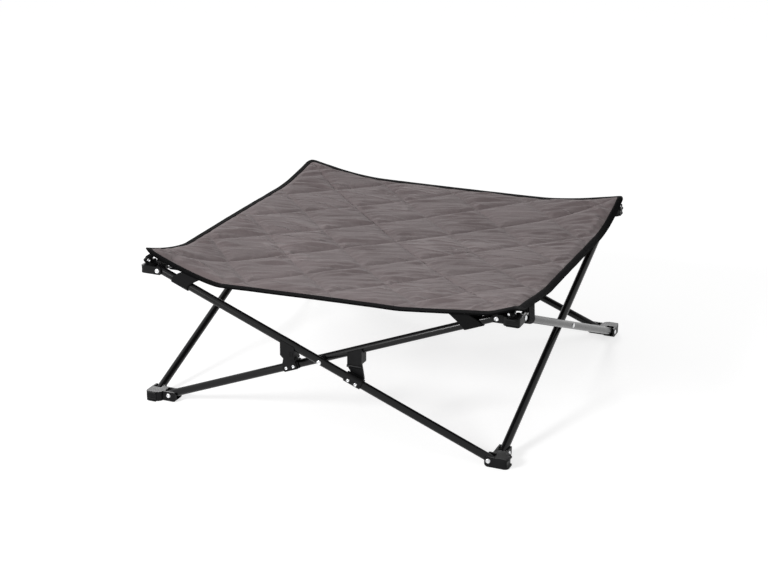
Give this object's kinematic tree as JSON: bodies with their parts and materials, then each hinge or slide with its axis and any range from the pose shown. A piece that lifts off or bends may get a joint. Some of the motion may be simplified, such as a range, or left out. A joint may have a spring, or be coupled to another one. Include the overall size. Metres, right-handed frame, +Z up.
{
  "type": "dog bed with frame",
  "caption": "Raised folding pet bed: quilted fabric sheet stretched between corner hubs on four scissor crosses of black round tube, with moulded feet and snap clips.",
  "frame": {"origin": "on the floor, under the centre of the bed", "axes": "+X to the right along the front side, +Y towards the back, +Z up"},
  "size_m": [0.7896, 0.7896, 0.3184],
  "materials": {
    "tube_black": "gloss powder coat",
    "moulded_black": "fine matt moulding",
    "rivet_steel": "bright nickel plate",
    "sheet_fabric": "quilted woven polyester",
    "webbing_black": "woven tape"
  },
  "bodies": {
    "front_outer": {"front_outer_tube": "tube_black", "front_outer_loop": "webbing_black", "front_outer_clip": "moulded_black", "front_outer_clip_rivets": "rivet_steel"},
    "front_inner": {"front_inner_tube": "tube_black", "front_inner_loop": "webbing_black", "cross_rivet_front": "rivet_steel", "cross_spacer_front": "moulded_black", "front_inner_clip": "moulded_black", "front_inner_clip_rivets": "rivet_steel"},
    "top_front_left": {"top_hub_front_left": "moulded_black", "hub_rivets_front_left": "rivet_steel", "corner_pocket_front_left": "webbing_black"},
    "stand_front_left": {"foot_front_left": "moulded_black", "foot_rivets_front_left": "rivet_steel"},
    "sheet_front": {"sheet_front": "sheet_fabric", "binding_front": "webbing_black"},
    "right_outer": {"right_outer_tube": "tube_black", "right_outer_loop": "webbing_black"},
    "right_inner": {"right_inner_tube": "tube_black", "right_inner_loop": "webbing_black", "cross_rivet_right": "rivet_steel", "cross_spacer_right": "moulded_black"},
    "top_front_right": {"top_hub_front_right": "moulded_black", "hub_rivets_front_right": "rivet_steel", "corner_pocket_front_right": "webbing_black"},
    "stand_front_right": {"foot_front_right": "moulded_black", "foot_rivets_front_right": "rivet_steel"},
    "sheet_right": {"sheet_right": "sheet_fabric", "binding_right": "webbing_black"},
    "back_outer": {"back_outer_tube": "tube_black", "back_outer_loop": "webbing_black", "back_outer_clip": "moulded_black", "back_outer_clip_rivets": "rivet_steel"},
    "back_inner": {"back_inner_tube": "tube_black", "back_inner_loop": "webbing_black", "cross_rivet_back": "rivet_steel", "cross_spacer_back": "moulded_black", "back_inner_clip": "moulded_black", "back_inner_clip_rivets": "rivet_steel"},
    "top_back_right": {"top_hub_back_right": "moulded_black", "hub_rivets_back_right": "rivet_steel", "corner_pocket_back_right": "webbing_black"},
    "stand_back_right": {"foot_back_right": "moulded_black", "foot_rivets_back_right": "rivet_steel"},
    "sheet_back": {"sheet_back": "sheet_fabric", "binding_back": "webbing_black"},
    "left_outer": {"left_outer_tube": "tube_black", "left_outer_loop": "webbing_black"},
    "left_inner": {"left_inner_tube": "tube_black", "left_inner_loop": "webbing_black", "cross_rivet_left": "rivet_steel", "cross_spacer_left": "moulded_black"},
    "top_back_left": {"top_hub_back_left": "moulded_black", "hub_rivets_back_left": "rivet_steel", "corner_pocket_back_left": "webbing_black"},
    "stand_back_left": {"foot_back_left": "moulded_black", "foot_rivets_back_left": "rivet_steel"},
    "sheet_left": {"sheet_left": "sheet_fabric", "binding_left": "webbing_black"}
  },
  "joints": [
    {"name": "fold", "type": "hinge", "parent": "stand_front_left", "child": "front_inner", "pos_m": [-0.346, -0.3594, 0.012], "axis": [0, -1, 0], "range_deg": [0, 61]},
    {"name": "front_cross", "type": "hinge", "parent": "front_inner", "child": "front_outer", "pos_m": [0, -0.37, 0.149], "axis": [0, -1, 0], "range_deg": [-122, 0]},
    {"name": "front_outer_top", "type": "hinge", "parent": "front_outer", "child": "top_front_left", "pos_m": [-0.346, -0.3806, 0.286], "axis": [0, -1, 0], "range_deg": [0, 61]},
    {"name": "front_outer_foot", "type": "hinge", "parent": "front_outer", "child": "stand_front_right", "pos_m": [0.346, -0.3806, 0.012], "axis": [0, -1, 0], "range_deg": [0, 61]},
    {"name": "front_inner_top", "type": "hinge", "parent": "front_inner", "child": "top_front_right", "pos_m": [0.346, -0.3594, 0.286], "axis": [0, -1, 0], "range_deg": [-61, 0]},
    {"name": "left_outer_foot", "type": "hinge", "parent": "stand_front_left", "child": "left_outer", "pos_m": [-0.3806, -0.346, 0.012], "axis": [-1, 0, 0], "range_deg": [-61, 0]},
    {"name": "left_cross", "type": "hinge", "parent": "left_outer", "child": "left_inner", "pos_m": [-0.37, 0, 0.149], "axis": [-1, 0, 0], "range_deg": [0, 122]},
    {"name": "left_inner_foot", "type": "hinge", "parent": "left_inner", "child": "stand_back_left", "pos_m": [-0.3594, 0.346, 0.012], "axis": [-1, 0, 0], "range_deg": [-61, 0]},
    {"name": "left_outer_top", "type": "hinge", "parent": "left_outer", "child": "top_back_left", "pos_m": [-0.3806, 0.346, 0.286], "axis": [-1, 0, 0], "range_deg": [0, 61]},
    {"name": "right_inner_foot", "type": "hinge", "parent": "stand_front_right", "child": "right_inner", "pos_m": [0.3594, -0.346, 0.012], "axis": [1, 0, 0], "range_deg": [0, 61]},
    {"name": "right_cross", "type": "hinge", "parent": "right_inner", "child": "right_outer", "pos_m": [0.37, 0, 0.149], "axis": [1, 0, 0], "range_deg": [-122, 0]},
    {"name": "right_outer_foot", "type": "hinge", "parent": "right_outer", "child": "stand_back_right", "pos_m": [0.3806, 0.346, 0.012], "axis": [1, 0, 0], "range_deg": [0, 61]},
    {"name": "right_inner_top", "type": "hinge", "parent": "right_inner", "child": "top_back_right", "pos_m": [0.3594, 0.346, 0.286], "axis": [1, 0, 0], "range_deg": [-61, 0]},
    {"name": "back_outer_foot", "type": "hinge", "parent": "stand_back_left", "child": "back_outer", "pos_m": [-0.346, 0.3806, 0.012], "axis": [0, 1, 0], "range_deg": [-61, 0]},
    {"name": "back_cross", "type": "hinge", "parent": "back_outer", "child": "back_inner", "pos_m": [0, 0.37, 0.149], "axis": [0, 1, 0], "range_deg": [0, 122]},
    {"name": "sheet_front_drop", "type": "hinge", "parent": "top_front_left", "child": "sheet_front", "pos_m": [0, -0.37, 0.286], "axis": [1, 0, 0], "range_deg": [-78.79, 0], "deforming": ["sheet_front", "binding_front"]},
    {"name": "sheet_right_drop", "type": "hinge", "parent": "top_front_right", "child": "sheet_right", "pos_m": [0.37, 0, 0.286], "axis": [0, 1, 0], "range_deg": [-78.79, 0], "deforming": ["sheet_right", "binding_right"]},
    {"name": "sheet_back_drop", "type": "hinge", "parent": "top_back_right", "child": "sheet_back", "pos_m": [0, 0.37, 0.286], "axis": [-1, 0, 0], "range_deg": [-78.79, 0], "deforming": ["sheet_back", "binding_back"]},
    {"name": "sheet_left_drop", "type": "hinge", "parent": "top_back_left", "child": "sheet_left", "pos_m": [-0.37, 0, 0.286], "axis": [0, -1, 0], "range_deg": [-78.79, 0], "deforming": ["sheet_left", "binding_left"]}
  ],
  "couplings": [
    {"joint": "front_cross", "follows": "fold", "ratio": -2},
    {"joint": "front_outer_top", "follows": "fold", "ratio": 1},
    {"joint": "front_outer_foot", "follows": "fold", "ratio": 1},
    {"joint": "front_inner_top", "follows": "fold", "ratio": -1},
    {"joint": "left_outer_foot", "follows": "fold", "ratio": -1},
    {"joint": "left_cross", "follows": "fold", "ratio": 2},
    {"joint": "left_inner_foot", "follows": "fold", "ratio": -1},
    {"joint": "left_outer_top", "follows": "fold", "ratio": 1},
    {"joint": "right_inner_foot", "follows": "fold", "ratio": 1},
    {"joint": "right_cross", "follows": "fold", "ratio": -2},
    {"joint": "right_outer_foot", "follows": "fold", "ratio": 1},
    {"joint": "right_inner_top", "follows": "fold", "ratio": -1},
    {"joint": "back_outer_foot", "follows": "fold", "ratio": -1},
    {"joint": "back_cross", "follows": "fold", "ratio": 2},
    {"joint": "sheet_front_drop", "follows": "fold", "ratio": -1.2917},
    {"joint": "sheet_right_drop", "follows": "fold", "ratio": -1.2917},
    {"joint": "sheet_back_drop", "follows": "fold", "ratio": -1.2917},
    {"joint": "sheet_left_drop", "follows": "fold", "ratio": -1.2917}
  ]
}
